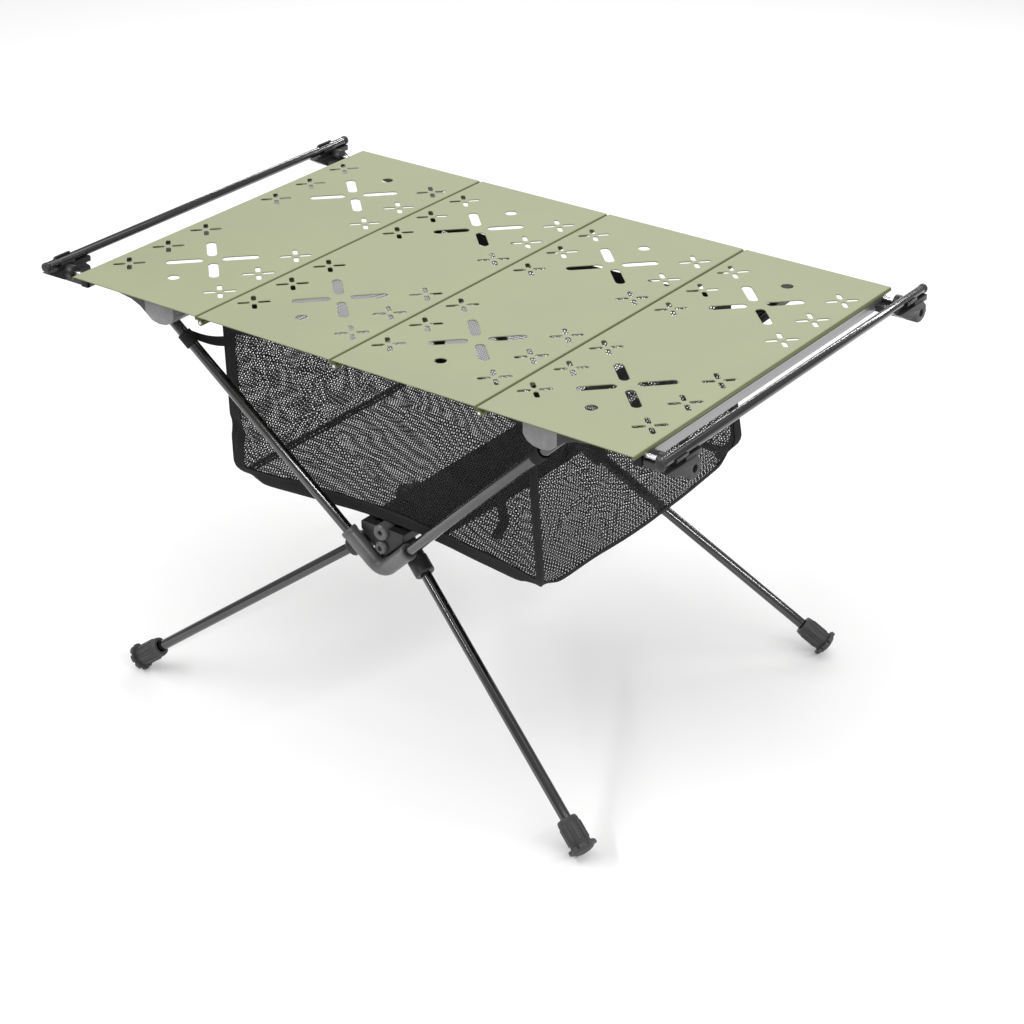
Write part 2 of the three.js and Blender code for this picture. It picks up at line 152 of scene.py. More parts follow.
class BagSettings(PropertyGroup):
    hole_pitch: FloatProperty(
        name="Mesh pitch",
        description="Distance between the holes of the mesh",
        default=2.6 * MM,
        unit="LENGTH",
    )
    tape: FloatProperty(
        name="Tape width",
        description="Width of the binding tape",
        default=11 * MM,
        unit="LENGTH",
    )
    sag: FloatProperty(
        name="Bottom sag",
        description="How far the bottom hangs below the crossbar's top",
        default=11 * MM,
        unit="LENGTH",
    )
    colour: FloatVectorProperty(
        name="Thread colour",
        description="Colour of the mesh and its tape",
        default=(0.011, 0.011, 0.012),
        subtype="COLOR",
    )


# ---------------------------------------------------------------- materials


PLUG_START = 186.5 * MM
PLUG_COLOUR = (0.02, 0.02, 0.021)
# Painted shade on the brackets' outer wings: where it starts, and its dark colour.
WING_SHADE_START = 221 * MM
WING_SHADE_COLOUR = (0.012, 0.012, 0.013)
PLASTIC_COLOUR = (0.016, 0.016, 0.017)
GREY_COLOUR = (0.09, 0.09, 0.093)
RUBBER_COLOUR = (0.04, 0.04, 0.042)
BAR_COLOUR = (0.36, 0.36, 0.365)
# Share of the sheet colour kept in the painted shade below the top face.
RECESS_SHADE_SHARE = (0.42, 0.44, 0.32)
ROW_SPACING = 0.86
RIB_PITCH = 0.9 * MM
STITCH_PITCH = 3.2 * MM
STITCH_SHARE = 0.68
STITCH_ROW = 0.36
THREAD = 0.7 * MM


class Val:
    """A socket in a material; arithmetic on it adds Math nodes."""

    def __init__(self, finish, socket):
        self.finish = finish
        self.socket = socket

    def math(self, operation, *values):
        return self.finish.add(
            "ShaderNodeMath", {"operation": operation}, dict(enumerate(values))
        )

    def __add__(self, other):
        return self.math("ADD", self, other)

    def __radd__(self, other):
        return self.math("ADD", other, self)

    def __sub__(self, other):
        return self.math("SUBTRACT", self, other)

    def __rsub__(self, other):
        return self.math("SUBTRACT", other, self)

    def __mul__(self, other):
        return self.math("MULTIPLY", self, other)

    def __rmul__(self, other):
        return self.math("MULTIPLY", other, self)

    def __truediv__(self, other):
        return self.math("DIVIDE", self, other)

    def __lt__(self, other):
        return self.math("LESS_THAN", self, other)

    def __mod__(self, other):
        return self.math("FLOORED_MODULO", self, other)

    def fract(self):
        return self.math("FRACT", self)

    def floor(self):
        return self.math("FLOOR", self)

    def absolute(self):
        return self.math("ABSOLUTE", self)

    def root(self):
        return self.math("SQRT", self)

    def smooth(self, low, high):
        """0 below low, 1 above high, eased between them."""
        settings = {"interpolation_type": "SMOOTHSTEP"}
        values = {"Value": self, "From Min": low, "From Max": high}
        return self.finish.add("ShaderNodeMapRange", settings, values)


class Finish:
    """One material: a Principled shader whose varying inputs come from nodes."""

    def __init__(self, name, **constants):
        self.material = bpy.data.materials.new(name)
        self.material.use_nodes = True
        self.tree = self.material.node_tree
        self.tree.nodes.clear()
        output = self.tree.nodes.new("ShaderNodeOutputMaterial")
        self.shader = self.tree.nodes.new("ShaderNodeBsdfPrincipled")
        self.tree.links.new(self.shader.outputs[0], output.inputs["Surface"])
        self.feed(**constants)

    def connect(self, socket, value):
        if isinstance(value, Val):
            self.tree.links.new(value.socket, socket)
        elif hasattr(value, "__len__") and socket.type == "RGBA" and len(value) == 3:
            socket.default_value = (*value, 1)
        else:
            socket.default_value = value

    def add(self, kind, settings=None, values=None, out=0):
        """A node of that kind, its settings set first, then its sockets' values or links."""
        node = self.tree.nodes.new(kind)
        for key, value in (settings or {}).items():
            setattr(node, key, value)
        for key, value in (values or {}).items():
            self.connect(node.inputs[key], value)
        return Val(self, node.outputs[out])

    def feed(self, **inputs):
        for key, value in inputs.items():
            self.connect(self.shader.inputs[key.replace("_", " ")], value)

    def place(self):
        return self.add("ShaderNodeTexCoord", out="Object")

    def uv(self):
        return self.add("ShaderNodeTexCoord", out="UV")

    def split(self, vector):
        """The three parts of a vector."""
        parts = self.add("ShaderNodeSeparateXYZ", None, {0: vector})
        return [Val(self, output) for output in parts.socket.node.outputs]

    def stretch(self, vector, scale):
        return self.add(
            "ShaderNodeVectorMath", {"operation": "MULTIPLY"}, {0: vector, 1: scale}
        )

    def grain(self, vector, scale, detail=3.0, roughness=0.5):
        values = {"Vector": vector, "Scale": scale, "Detail": detail, "Roughness": roughness}
        return self.add("ShaderNodeTexNoise", {"noise_dimensions": "3D"}, values)

    def blend(self, factor, low, high):
        """Colour low where factor is 0, high where it is 1."""
        values = {0: factor, 6: low, 7: high}
        return self.add("ShaderNodeMix", {"data_type": "RGBA"}, values, out=2)

    def bump(self, height, strength, distance):
        values = {"Strength": strength, "Distance": distance, "Height": height}
        self.feed(Normal=self.add("ShaderNodeBump", None, values))


def tone(colour, factor):
    """The colour, lighter or darker by that factor."""
    return tuple(min(1, c * factor) for c in colour)


def powder_coat(colour, surface):
    """Satin powder coat: fine orange peel, faint clouding, rubbed specks, and painted shade in dull green below
    the top face.
    """
    finish = Finish("sage_powder_coat", Metallic=0.0, Specular_IOR_Level=0.35)
    place = finish.place()
    # Painted shade: holes, seams, rolled edges and knuckles, everything below the top face, turn a darker dull
    # green.
    depth = (surface - finish.split(place)[2]).smooth(0.12 * MM, 0.7 * MM)
    cloud = finish.grain(place, 9, 4).smooth(0.3, 0.7)
    peel = finish.grain(place, 1400, 2)
    speck = finish.grain(place, 420, 2, 0.7).smooth(0.68, 0.8)
    base = finish.blend(cloud, tone(colour, 0.965), tone(colour, 1.03))
    base = finish.blend(speck * 0.35, base, tone(colour, 1.18))
    recess_shade_colour = tuple(c * share for c, share in zip(colour, RECESS_SHADE_SHARE))
    base = finish.blend(depth, base, recess_shade_colour)
    finish.feed(Base_Color=base, Roughness=0.52 + cloud * 0.07 - speck * 0.08)
    finish.bump(peel, 0.22, 0.00012)
    return finish.material


def anodised_tube(colour):
    """Black anodised tube: glossy, with faint clouding and handling marks."""
    finish = Finish("pole", Metallic=1.0, Coat_Roughness=0.08)
    place = finish.place()
    cloud = finish.grain(place, 22, 3)
    marks = finish.grain(place, 90, 5, 0.65).smooth(0.5, 0.78)
    base = finish.blend(cloud, tone(colour, 0.7), tone(colour, 1.4))
    base = finish.blend(marks * 0.2, base, tone(colour, 2.0))
    finish.feed(
        Base_Color=base,
        Roughness=0.15 + cloud * 0.05 + marks * 0.05,
        Coat_Weight=0.7 - marks * 0.2,
    )
    return finish.material


def brushed_bar(colour):
    """Extruded bar brushed along its length, with dark plugs in its ends."""
    finish = Finish("end_bar", Metallic=0.9)
    place = finish.place()
    lines = finish.grain(finish.stretch(place, (500, 5, 500)), 1.0, 4, 0.6)
    plug = finish.split(place)[1].absolute().smooth(PLUG_START, PLUG_START + MM)
    base = finish.blend(lines, tone(colour, 0.7), tone(colour, 1.25))
    base = finish.blend(plug, base, PLUG_COLOUR)
    finish.feed(Base_Color=base, Roughness=0.32 + lines * 0.12)
    finish.bump(lines, 0.15, 0.0001)
    return finish.material


def moulded_plastic(name, colour, roughness, grain=900, wing_shade_start=None):
    """Moulded nylon with spark grain, and a painted highlight that pales its sharp edges.

    The last argument is the distance from the middle past which painted shade darkens the outer wing.
    """
    finish = Finish(name, Metallic=0.0, Specular_IOR_Level=0.5)
    place = finish.place()
    spark = finish.grain(place, grain, 2, 0.6)
    flow = finish.grain(place, 70, 4, 0.6).smooth(0.35, 0.75)
    # Painted highlight: sharp convex edges are lightened.
    edge = finish.add("ShaderNodeNewGeometry", out="Pointiness").smooth(0.52, 0.6)
    base = finish.blend(flow, tone(colour, 0.85), tone(colour, 1.2))
    base = finish.blend(edge * 0.5, base, tone(colour, 1.9))
    if wing_shade_start:
        # Painted shade: past that distance the part is darkened as if its wing lay in shadow.
        in_wing_shade = finish.split(place)[0].absolute().smooth(wing_shade_start, wing_shade_start + 0.5 * MM)
        base = finish.blend(in_wing_shade, base, WING_SHADE_COLOUR)
    finish.feed(Base_Color=base, Roughness=roughness + spark * 0.16 - edge * 0.1)
    finish.bump(spark, 0.3, 0.00015)
    return finish.material


def bright_steel():
    """Turned steel with fine lathe lines."""
    finish = Finish("bright_steel", Metallic=1.0)
    place = finish.place()
    lathe = finish.grain(finish.stretch(place, (60, 60, 900)), 1.0, 3)
    smudge = finish.grain(place, 160, 4).smooth(0.4, 0.7)
    base = finish.blend(smudge, (0.62, 0.62, 0.64), (0.78, 0.78, 0.8))
    finish.feed(Base_Color=base, Roughness=0.16 + lathe * 0.14 + smudge * 0.06)
    finish.bump(lathe, 0.15, 0.00005)
    return finish.material


def mesh_cloth(colour, pitch):
    """Knitted mesh: staggered round holes, raised threads between them."""
    finish = Finish("bag_mesh", Metallic=0.0, Specular_IOR_Level=0.3)
    across, up, _ = finish.split(finish.uv())
    rows = up / (pitch * ROW_SPACING)
    shift = (rows.floor() % 2.0) * 0.5
    u = (across / pitch + shift).fract() - 0.5
    v = (rows.fract() - 0.5) * ROW_SPACING
    reach = (u * u + v * v).root()
    thread = reach.smooth(0.25, 0.34)
    place = finish.place()
    cloud = finish.grain(place, 26, 3).smooth(0.3, 0.7)
    fibre = finish.grain(place, 2600, 2)
    base = finish.blend(cloud, tone(colour, 0.7), tone(colour, 1.5))
    base = finish.blend(fibre * 0.5, base, tone(colour, 2.4))
    finish.feed(Base_Color=base, Roughness=0.7 + fibre * 0.2, Alpha=thread)
    finish.bump(reach.smooth(0.3, 0.55) + fibre * 0.2, 0.7, 0.0004)
    return finish.material


def woven_tape(colour, width):
    """Grosgrain tape: ribs across it, and a row of stitches near each edge."""
    finish = Finish("bag_tape", Metallic=0.0, Specular_IOR_Level=0.3)
    across, along, _ = finish.split(finish.uv())
    rib = ((along / RIB_PITCH).fract() - 0.5).absolute()
    edge = (across.absolute() - width * STITCH_ROW).absolute()
    dash = (along / STITCH_PITCH).fract()
    stitch = (edge < THREAD / 2) * (dash < STITCH_SHARE)
    fuzz = finish.grain(finish.place(), 1500, 3)
    base = finish.blend(rib * 1.2, tone(colour, 0.75), tone(colour, 1.25))
    base = finish.blend(stitch * 0.7, base, tone(colour, 3.2))
    finish.feed(Base_Color=base, Roughness=0.66 + fuzz * 0.2)
    finish.bump(rib * 0.8 + stitch * 0.9 + fuzz * 0.4, 0.5, 0.0003)
    return finish.material


MATERIALS = {}


# ---------------------------------------------------------------- piece helpers


def grow(bm, name, body, slot, nodes=(), angle=35, tidy_normals=True):
    """Turns a finished bmesh into a piece that rides on its body and stands for CAD nodes."""
    if tidy_normals:
        bmesh.ops.recalc_face_normals(bm, faces=bm.faces)
    mesh = bpy.data.meshes.new(name)
    bm.to_mesh(mesh)
    bm.free()
    piece = bpy.data.objects.new(name, mesh)
    bpy.context.scene.collection.objects.link(piece)
    mesh.materials.append(MATERIALS[slot])
    shade(piece, angle)
    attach(piece, body)
    if nodes:
        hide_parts(*nodes)
    return piece


def shade(piece, angle):
    """Smooth shading that keeps edges above angle, in degrees, crisp."""
    piece.data.shade_smooth()
    piece.data.set_sharp_from_angle(angle=math.radians(angle))


def stand_in(bm, node, angle=35):
    """A finer piece in place of one CAD node."""
    return grow(bm, f"{node}_fine", BODY_OF[node], SLOT_OF[node], [node], angle)


def apply_modifiers(piece):
    """Leaves the modifiers' result in the mesh."""
    bpy.context.view_layer.update()
    seen = piece.evaluated_get(bpy.context.evaluated_depsgraph_get())
    finished = bpy.data.meshes.new_from_object(seen)
    piece.modifiers.clear()
    piece.data = finished


def thicken(piece, thickness):
    """Gives a strip of cloth its thickness, half of it on each side."""
    wall = piece.modifiers.new("thickness", "SOLIDIFY")
    wall.thickness = thickness
    wall.offset = 0
    apply_modifiers(piece)
    shade(piece, 50)


def new_verts(made):
    """The verts among what an extrusion made."""
    return [part for part in made["geom"] if isinstance(part, bmesh.types.BMVert)]


def edges_of(verts):
    """Every edge that meets one of the verts, once each."""
    return list(dict.fromkeys(edge for vert in verts for edge in vert.link_edges))


def ease(bm, edges, offset, segments=3):
    """Rounds the edges and returns the new verts."""
    made = bmesh.ops.bevel(
        bm,
        geom=edges,
        offset=offset,
        affect="EDGES",
        segments=segments,
        profile=0.5,
        material=-1,
    )
    return made["verts"]


def block(bm, middle, size):
    """A box about middle; returns its verts."""
    made = bmesh.ops.create_cube(bm, size=1)
    bmesh.ops.scale(bm, verts=made["verts"], vec=size)
    bmesh.ops.translate(bm, verts=made["verts"], vec=middle)
    return made["verts"]


def axis_turn(axis):
    """Rotation that takes +Z to axis."""
    return axis.to_track_quat("Z", "Y").to_matrix().to_4x4()


def stick(bm, start, end, radius, sides, chamfer):
    """A closed round rod from start to end, its ends chamfered."""
    axis = (end - start).normalized()
    length = (end - start).length
    place = Matrix.Translation((start + end) / 2) @ axis_turn(axis)
    made = bmesh.ops.create_cone(
        bm,
        cap_ends=True,
        segments=sides,
        radius1=radius,
        radius2=radius,
        depth=length,
        matrix=place,
    )
    rims = [
        edge
        for edge in edges_of(made["verts"])
        if abs((edge.verts[1].co - edge.verts[0].co).normalized().dot(axis)) < 0.1
    ]
    ease(bm, rims, chamfer)


def turned(bm, profile, place, sides):
    """Spins a (radius, height) profile about Z, then puts it in place.

    A profile that starts off the axis is closed into a ring first.
    """
    verts = [bm.verts.new((radius, 0, height)) for radius, height in profile]
    edges = [bm.edges.new(pair) for pair in zip(verts, verts[1:])]
    if profile[0][0] > 0:
        edges.append(bm.edges.new((verts[-1], verts[0])))
    bmesh.ops.spin(
        bm,
        geom=[*verts, *edges],
        cent=(0, 0, 0),
        axis=(0, 0, 1),
        angle=2 * math.pi,
        steps=sides,
        use_merge=True,
    )
    bmesh.ops.remove_doubles(bm, verts=bm.verts, dist=1e-6)
    bmesh.ops.transform(bm, matrix=place, verts=bm.verts)


def sweep(points, radius, name):
    """A round tube along points, as a bmesh."""
    curve = bpy.data.curves.new(name, "CURVE")
    curve.dimensions = "3D"
    curve.bevel_depth = radius
    curve.bevel_resolution = 8
    curve.use_fill_caps = True
    spline = curve.splines.new("POLY")
    spline.points.add(len(points) - 1)
    for spot, point in zip(spline.points, points):
        spot.co = (*point, 1)
    holder = bpy.data.objects.new(name, curve)
    bpy.context.scene.collection.objects.link(holder)
    bpy.context.view_layer.update()
    mesh = bpy.data.meshes.new_from_object(
        holder.evaluated_get(bpy.context.evaluated_depsgraph_get())
    )
    bm = bmesh.new()
    bm.from_mesh(mesh)
    bmesh.ops.remove_doubles(bm, verts=bm.verts, dist=1e-6)
    bpy.data.objects.remove(holder)
    bpy.data.curves.remove(curve)
    bpy.data.meshes.remove(mesh)
    return bm


def cloth_patch(bm, columns, rows, surface, uv_of):
    """A grid whose point (s, t), each from 0 to 1, is moved to surface(s, t)."""
    made = bmesh.ops.create_grid(bm, x_segments=columns, y_segments=rows, size=0.5)
    layer = bm.loops.layers.uv.verify()
    spots = {vert: (vert.co.x + 0.5, vert.co.y + 0.5) for vert in made["verts"]}
    faces = {face for vert in made["verts"] for face in vert.link_faces}
    for face in faces:
        for loop in face.loops:
            loop[layer].uv = uv_of(*spots[loop.vert])
    for vert, (s, t) in spots.items():
        vert.co = surface(s, t)


def level_rod(node, sides, chamfer, along=1):
    """A finer round rod in place of a CAD rod that lies along one axis."""
    low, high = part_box(node)
    start = (low + high) / 2
    end = start.copy()
    start[along] = low[along]
    end[along] = high[along]
    bm = bmesh.new()
    stick(bm, start, end, (high.z - low.z) / 2, sides, chamfer)
    stand_in(bm, node)


def softened(node, width):
    """A copy of a CAD node with its edges rounded."""
    bm = bmesh.new()
    bm.from_mesh(frame["nodes"][node].data)
    bmesh.ops.remove_doubles(bm, verts=bm.verts, dist=1e-6)
    bmesh.ops.dissolve_limit(
        bm, angle_limit=math.radians(1), verts=bm.verts, edges=bm.edges
    )
    piece = grow(bm, f"{node}_fine", BODY_OF[node], SLOT_OF[node], [node], 40, False)
    rounding = piece.modifiers.new("rounded_edges", "BEVEL")
    rounding.width = width
    rounding.segments = 3
    rounding.limit_method = "ANGLE"
    rounding.angle_limit = math.radians(28)
    rounding.use_clamp_overlap = True
    rounding.harden_normals = False
    apply_modifiers(piece)
    shade(piece, 40)
    return piece


# ---------------------------------------------------------------- top


TOP_LENGTH = 600 * MM
PANELS = 4
PANEL_WIDTH = TOP_LENGTH / PANELS
SEAM_GAP = 0.5 * MM
END_FLANGE = 1.2 * MM
ROLL_STEPS = 8
SEAM_LENGTH = 392 * MM
KNUCKLES = 5
KNUCKLE = {"z": 383 * MM, "radius": 2.9 * MM, "gap": 0.3 * MM, "ease": 0.4 * MM, "sides": 24}
WEB = {
    "x": 0.95 * MM,
    "z": 385.7 * MM,
    "thickness": 1.1 * MM,
    "height": 3.4 * MM,
    "inset": 0.5 * MM,
}
BIG_SLOT = {"reach": 25.2 * MM, "length": 33.5 * MM, "width": 8.8 * MM}
PETAL = {"reach": 8.9 * MM, "length": 11.4 * MM, "width": 4.4 * MM}
CLUSTER_Y = 98.6 * MM
CROSS_X = 55 * MM
CROSS_Y = 50 * MM
ROUND_HOLE = {"y": 149 * MM, "radius": 5.5 * MM}
END_STEPS = 9
INSIDE_WITH_HOLES = 2


def slot_outline(centre, angle, length, width):
    """A slot with half-round ends."""
    radius = width / 2
    half = length / 2 - radius
    turn = Matrix.Rotation(angle, 2)
    points = []
    for end in (1, -1):
        for i in range(END_STEPS + 1):
            a = -math.pi / 2 + math.pi * i / END_STEPS
            local = Vector((half + math.cos(a) * radius, math.sin(a) * radius)) * end
            points.append(centre + turn @ local)
    return points


def cross_outlines(x, y, slot):
    """Four slots that point at (x, y) along the diagonals."""
    outlines = []
    for quarter in range(4):
        angle = math.radians(45 + 90 * quarter)
        centre = Vector((x, y)) + Vector((math.cos(angle), math.sin(angle))) * slot["reach"]
        outlines.append(slot_outline(centre, angle, slot["length"], slot["width"]))
    return outlines


def circle_outline(x, y, radius, sides=28):
    turns = [2 * math.pi * i / sides for i in range(sides)]
    return [Vector((x + radius * math.cos(a), y + radius * math.sin(a))) for a in turns]


def panel_outlines(centre_x):
    """Every hole of one panel."""
    outlines = []
    for end in (-1, 1):
        outlines.append(circle_outline(centre_x, end * ROUND_HOLE["y"], ROUND_HOLE["radius"]))
        outlines += cross_outlines(centre_x, end * CLUSTER_Y, BIG_SLOT)
        for column in (-CROSS_X, CROSS_X):
            for row in (-CROSS_Y, 0, CROSS_Y):
                outlines += cross_outlines(centre_x + column, end * CLUSTER_Y + row, PETAL)
    return outlines


def flat_fill(outlines):
    """A flat mesh inside the first outline and outside the others."""
    points, loops = [], []
    for outline in outlines:
        loops.append(list(range(len(points), len(points) + len(outline))))
        points += [Vector(point) for point in outline]
    spots, _, faces, *_ = geometry.delaunay_2d_cdt(points, [], loops, INSIDE_WITH_HOLES, 1e-7)
    bm = bmesh.new()
    verts = [bm.verts.new((*spot, 0)) for spot in spots]
    for face in faces:
        bm.faces.new([verts[i] for i in face])
    return bm


def roll_edge(bm, x, side, bend, drop, z):
    """Rolls the straight edge at x down about a quarter turn, then straight down."""
    rim = [
        edge
        for edge in bm.edges
        if edge.is_boundary and all(abs(v.co.x - x) < 1e-5 for v in edge.verts)
    ]
    centre = Vector((x, 0, z - bend))
    step = Matrix.Rotation(side * math.pi / 2 / ROLL_STEPS, 3, "Y")
    for _ in range(ROLL_STEPS):
        made = bmesh.ops.extrude_edge_only(bm, edges=rim)
        verts = new_verts(made)
        rim = [
            part
            for part in made["geom"]
            if isinstance(part, bmesh.types.BMEdge) and all(v in verts for v in part.verts)
        ]
        bmesh.ops.rotate(bm, verts=verts, cent=centre, matrix=step)
    made = bmesh.ops.extrude_edge_only(bm, edges=rim)
    bmesh.ops.translate(bm, verts=new_verts(made), vec=(0, 0, -drop))


class CAMPTABLE_OT_top(Operator):
    """Builds the four perforated panels with their rolled edges"""

    bl_idname = "camptable.top"
    bl_label = "Folding top"

    def execute(self, context):
        for number in range(1, PANELS + 1):
            self.panel(number, context.scene.camp_top)
        return {"FINISHED"}

    def panel(self, number, settings):
        node = f"panel_{number}"
        low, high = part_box(node)
        left = (number - 1) * PANEL_WIDTH - TOP_LENGTH / 2
        right = left + PANEL_WIDTH
        left_gap, left_drop = SEAM_GAP, settings.flange
        right_gap, right_drop = SEAM_GAP, settings.flange
        if number == 1:
            left_gap, left_drop = 0, END_FLANGE
        if number == PANELS:
            right_gap, right_drop = 0, END_FLANGE
        x0 = left + left_gap + settings.bend
        x1 = right - right_gap - settings.bend
        corners = [(x0, low.y), (x1, low.y), (x1, high.y), (x0, high.y)]
        bm = flat_fill([corners, *panel_outlines((left + right) / 2)])
        bmesh.ops.translate(bm, verts=bm.verts, vec=(0, 0, high.z))
        bm.normal_update()
        if bm.faces[:][0].normal.z < 0:
            bmesh.ops.reverse_faces(bm, faces=bm.faces)
        roll_edge(bm, x1, 1, settings.bend, right_drop, high.z)
        roll_edge(bm, x0, -1, settings.bend, left_drop, high.z)
        piece = grow(bm, f"{node}_fine", BODY_OF[node], SLOT_OF[node], [node], 40, False)
        wall = piece.modifiers.new("sheet", "SOLIDIFY")
        wall.thickness = settings.sheet
        wall.offset = -1
        rounding = piece.modifiers.new("eased_edges", "BEVEL")
        rounding.width = 0.3 * MM
        rounding.segments = 2
        rounding.limit_method = "ANGLE"
        rounding.angle_limit = math.radians(50)
        apply_modifiers(piece)
        seams = []
        if number > 1:
            seams.append((left, 1))
        if number < PANELS:
            seams.append((right, -1))
        self.add_knuckles(piece, seams)
        shade(piece, 16)

    def add_knuckles(self, piece, seams):
        """Hinge barrels under the seams, on the same pitch as the frame's."""
        bm = bmesh.new()
        bm.from_mesh(piece.data)
        pitch = SEAM_LENGTH / KNUCKLES
        gap = KNUCKLE["gap"]
        for x, side in seams:
            for i in range(0 if side > 0 else 1, KNUCKLES, 2):
                y0 = i * pitch - SEAM_LENGTH / 2 + gap
                y1 = y0 + pitch - 2 * gap
                start = Vector((x, y0, KNUCKLE["z"]))
                end = Vector((x, y1, KNUCKLE["z"]))
                stick(bm, start, end, KNUCKLE["radius"], KNUCKLE["sides"], KNUCKLE["ease"])
                block(
                    bm,
                    middle=(x + side * WEB["x"], (y0 + y1) / 2, WEB["z"]),
                    size=(WEB["thickness"], y1 - y0 - 2 * WEB["inset"], WEB["height"]),
                )
        bm.to_mesh(piece.data)
        bm.free()


class CAMPTABLE_OT_ends(Operator):
    """Builds the end bars, link pins, corner connectors, rods and caps"""

    bl_idname = "camptable.ends"
    bl_label = "Ends of the top"

    def execute(self, context):
        sides = context.scene.camp_poles.sides
        for side in SIDE_SIGN:
            softened(f"end_bar_{side}", 0.9 * MM)
            level_rod(f"end_rod_{side}", sides, 0.4 * MM)
        for row, side in CORNERS:
            level_rod(f"rod_cap_{row}_{side}", 28, 1.3 * MM)
            level_rod(f"link_pin_{row}_{side}", 24, 0.5 * MM, along=0)
            softened(f"connector_{row}_{side}", 1.0 * MM)
        for number in range(1, PANELS):
            level_rod(f"seam_pin_{number}", 16, 0.3 * MM)
        return {"FINISHED"}


# ---------------------------------------------------------------- pole frames


def pole_line(node, joint, radius):
    """Start and end of a slanted pole's axis, from its box and the joint it slides along."""
    low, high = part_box(node)
    axis = JOINT_AXIS[joint]
    middle = (low + high) / 2
    spread = 2 * radius * math.sqrt(1 - axis.z**2)
    length = (high.z - low.z - spread) / abs(axis.z)
    return middle - axis * length / 2, middle + axis * length / 2


def at_middle(point, axis):
    """The point where a pole's axis crosses the plane x = 0."""
    return point - axis * (point.x / axis.x)


class CAMPTABLE_OT_poles(Operator):
    """Builds the arms, legs and crossbar"""

    bl_idname = "camptable.poles"
    bl_label = "Poles"

    def execute(self, context):
        settings = context.scene.camp_poles
        for kind in ("arm", "leg"):
            for row, side in CORNERS:
                node = f"{kind}_{row}_{side}"
                line = pole_line(node, f"{kind}_slide_{row}_{side}", settings.radius)
                bm = bmesh.new()
                stick(bm, *line, settings.radius, settings.sides, 0.6 * MM)
                stand_in(bm, node)
        level_rod("crossbar", settings.sides, 0.5 * MM)
        return {"FINISHED"}


LOBES = 8
LOBE_DEPTH = 0.17
GRIP_RIBS = 10


class CAMPTABLE_OT_feet(Operator):
    """Builds the four ribbed feet with their scalloped soles"""

    bl_idname = "camptable.feet"
    bl_label = "Feet"

    def execute(self, context):
        for row, side in CORNERS:
            self.foot(row, side, context.scene.camp_feet, context.scene.camp_poles.radius)
        return {"FINISHED"}

    def foot(self, row, side, settings, pole_radius):
        joint = f"leg_slide_{row}_{side}"
        axis = JOINT_AXIS[joint]
        start, _ = pole_line(f"leg_{row}_{side}", joint, pole_radius)
        sole_height = settings.flange_radius * math.sqrt(1 - axis.z**2)
        sole = start + axis * ((sole_height - start.z) / axis.z)
        rim, body = settings.rim, settings.body_radius
        top = rim + settings.length
        bore = pole_radius + 0.3 * MM
        profile = [
            (0, -3.4 * MM), (5 * MM, -3.1 * MM), (8.6 * MM, -2.0 * MM), (10.2 * MM, 0),
            (10.2 * MM, rim * 0.6), (body * 0.97, rim), (body, rim + 1.2 * MM),
            (body, rim + settings.length * 0.8), (body * 0.99, rim + settings.length * 0.9),
            (body * 0.92, top), (bore + 0.6 * MM, top), (bore, top - 0.8 * MM),
            (bore, top - 20 * MM), (0, top - 20 * MM),
        ]
        bm = bmesh.new()
        turned(bm, profile, Matrix.Identity(4), 48)
        self.rim(bm, settings)
        self.ribs(bm, settings)
        place = Matrix.Translation(sole) @ axis_turn(-axis)
        bmesh.ops.transform(bm, matrix=place, verts=bm.verts)
        stand_in(bm, f"foot_{row}_{side}", 30)

    def rim(self, bm, settings):
        """The sole's rim: a disc whose edge is cut into rounded lobes."""
        disc = bmesh.ops.create_circle(
            bm, cap_ends=True, segments=12 * LOBES, radius=settings.flange_radius
        )
        for vert in disc["verts"]:
            turn = math.atan2(vert.co.y, vert.co.x)
            vert.co.xy *= 1 - LOBE_DEPTH * max(0.0, math.cos(turn * LOBES)) ** 3
        made = bmesh.ops.extrude_face_region(bm, geom=[disc["verts"][0].link_faces[0]])
        top = new_verts(made)
        bmesh.ops.translate(bm, verts=top, vec=(0, 0, settings.rim))
        flat = [
            edge
            for edge in edges_of(top)
            if abs(edge.verts[0].co.z - edge.verts[1].co.z) < 1e-6
        ]
        ease(bm, flat, 0.5 * MM, 2)

    def ribs(self, bm, settings):
        """Raised grip ribs round the sleeve."""
        middle = (settings.body_radius + 0.05 * MM, 0, settings.rim + settings.length * 0.46)
        size = (1.3 * MM, 2.0 * MM, settings.length * 0.62)
        for i in range(GRIP_RIBS):
            turn = Matrix.Rotation(2 * math.pi * i / GRIP_RIBS, 3, "Z")
            verts = ease(bm, edges_of(block(bm, middle, size)), 0.45 * MM, 2)
            bmesh.ops.rotate(bm, verts=verts, cent=(0, 0, 0), matrix=turn)


ELBOW = 14 * MM
ELBOW_STEPS = 12
SLEEVES = {
    "arm": {"radius": 7.5 * MM, "length": 48 * MM, "collar": 5 * MM, "rise": 0.35 * MM},
    "leg": {"radius": 8.5 * MM, "length": 54 * MM, "collar": 17 * MM, "rise": 0.8 * MM},
}
ARM_TAIL = {"middle": (0, 131 * MM, 170.1 * MM), "size": (18 * MM, 18 * MM, 11.2 * MM)}
LEG_BLOCK = {"middle": (0, 125.8 * MM, 192 * MM), "size": (32 * MM, 19.6 * MM, 32 * MM)}
PAD_PROFILE = [(-3, 180.3), (3, 180.3), (24, 200.3), (24, 208), (-24, 208), (-24, 200.3)]
PAD_Y = (116 * MM, 143 * MM)
BOSS = {"y": 146.5 * MM, "z": 204 * MM}
SCREW = {"y": 143.3 * MM, "z": 189 * MM}


